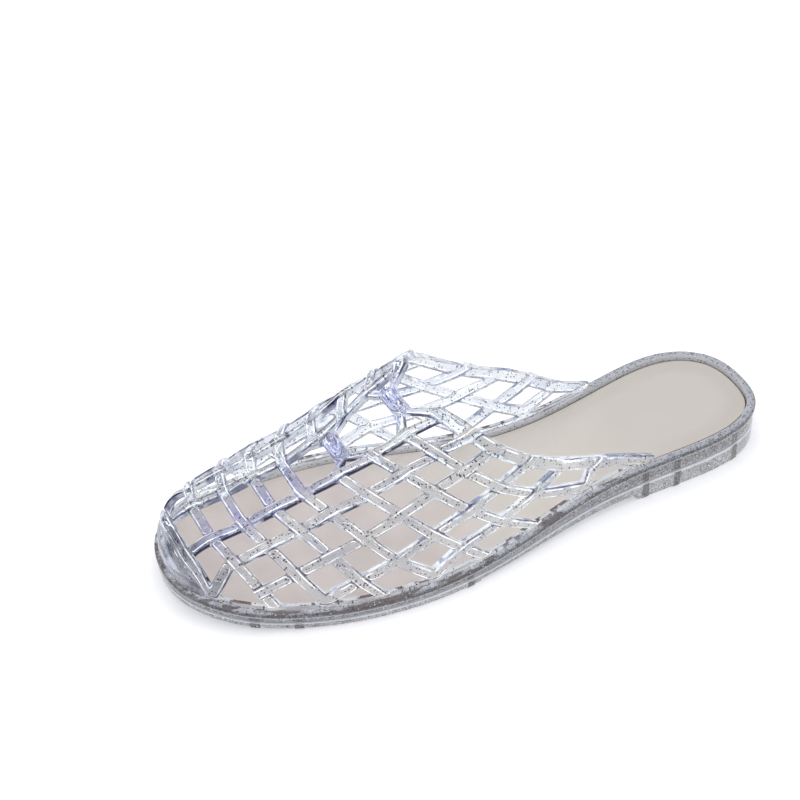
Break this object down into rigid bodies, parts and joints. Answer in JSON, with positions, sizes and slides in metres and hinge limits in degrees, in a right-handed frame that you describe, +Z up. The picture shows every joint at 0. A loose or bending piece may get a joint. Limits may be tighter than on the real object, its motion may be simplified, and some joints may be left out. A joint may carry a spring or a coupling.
{
  "type": "flat sandal",
  "caption": "Clear glittery moulded slide sandal with a woven-look lattice upper, closed toe, low heel block and greige insole.",
  "frame": {"origin": "centre of the footprint's bounding box, on the floor that the sole stands on", "axes": "+X from heel to toe, +Y to the outer side of the left foot, +Z up"},
  "size_m": [0.25, 0.0901, 0.067],
  "materials": {
    "sole_plastic": "clear soft PVC full of silver glitter, glossy",
    "rim_plastic": "clear soft PVC with glitter, faint blue cast, glossy",
    "insole_sheet": "greige synthetic leather, matt, fine grain",
    "upper_plastic": "clear soft PVC with sparse dark and silver specks, faint blue cast, glossy"
  },
  "bodies": {
    "root": {"outsole": "sole_plastic", "midsole": "rim_plastic", "insole": "insole_sheet", "upper": "upper_plastic"}
  },
  "joints": []
}
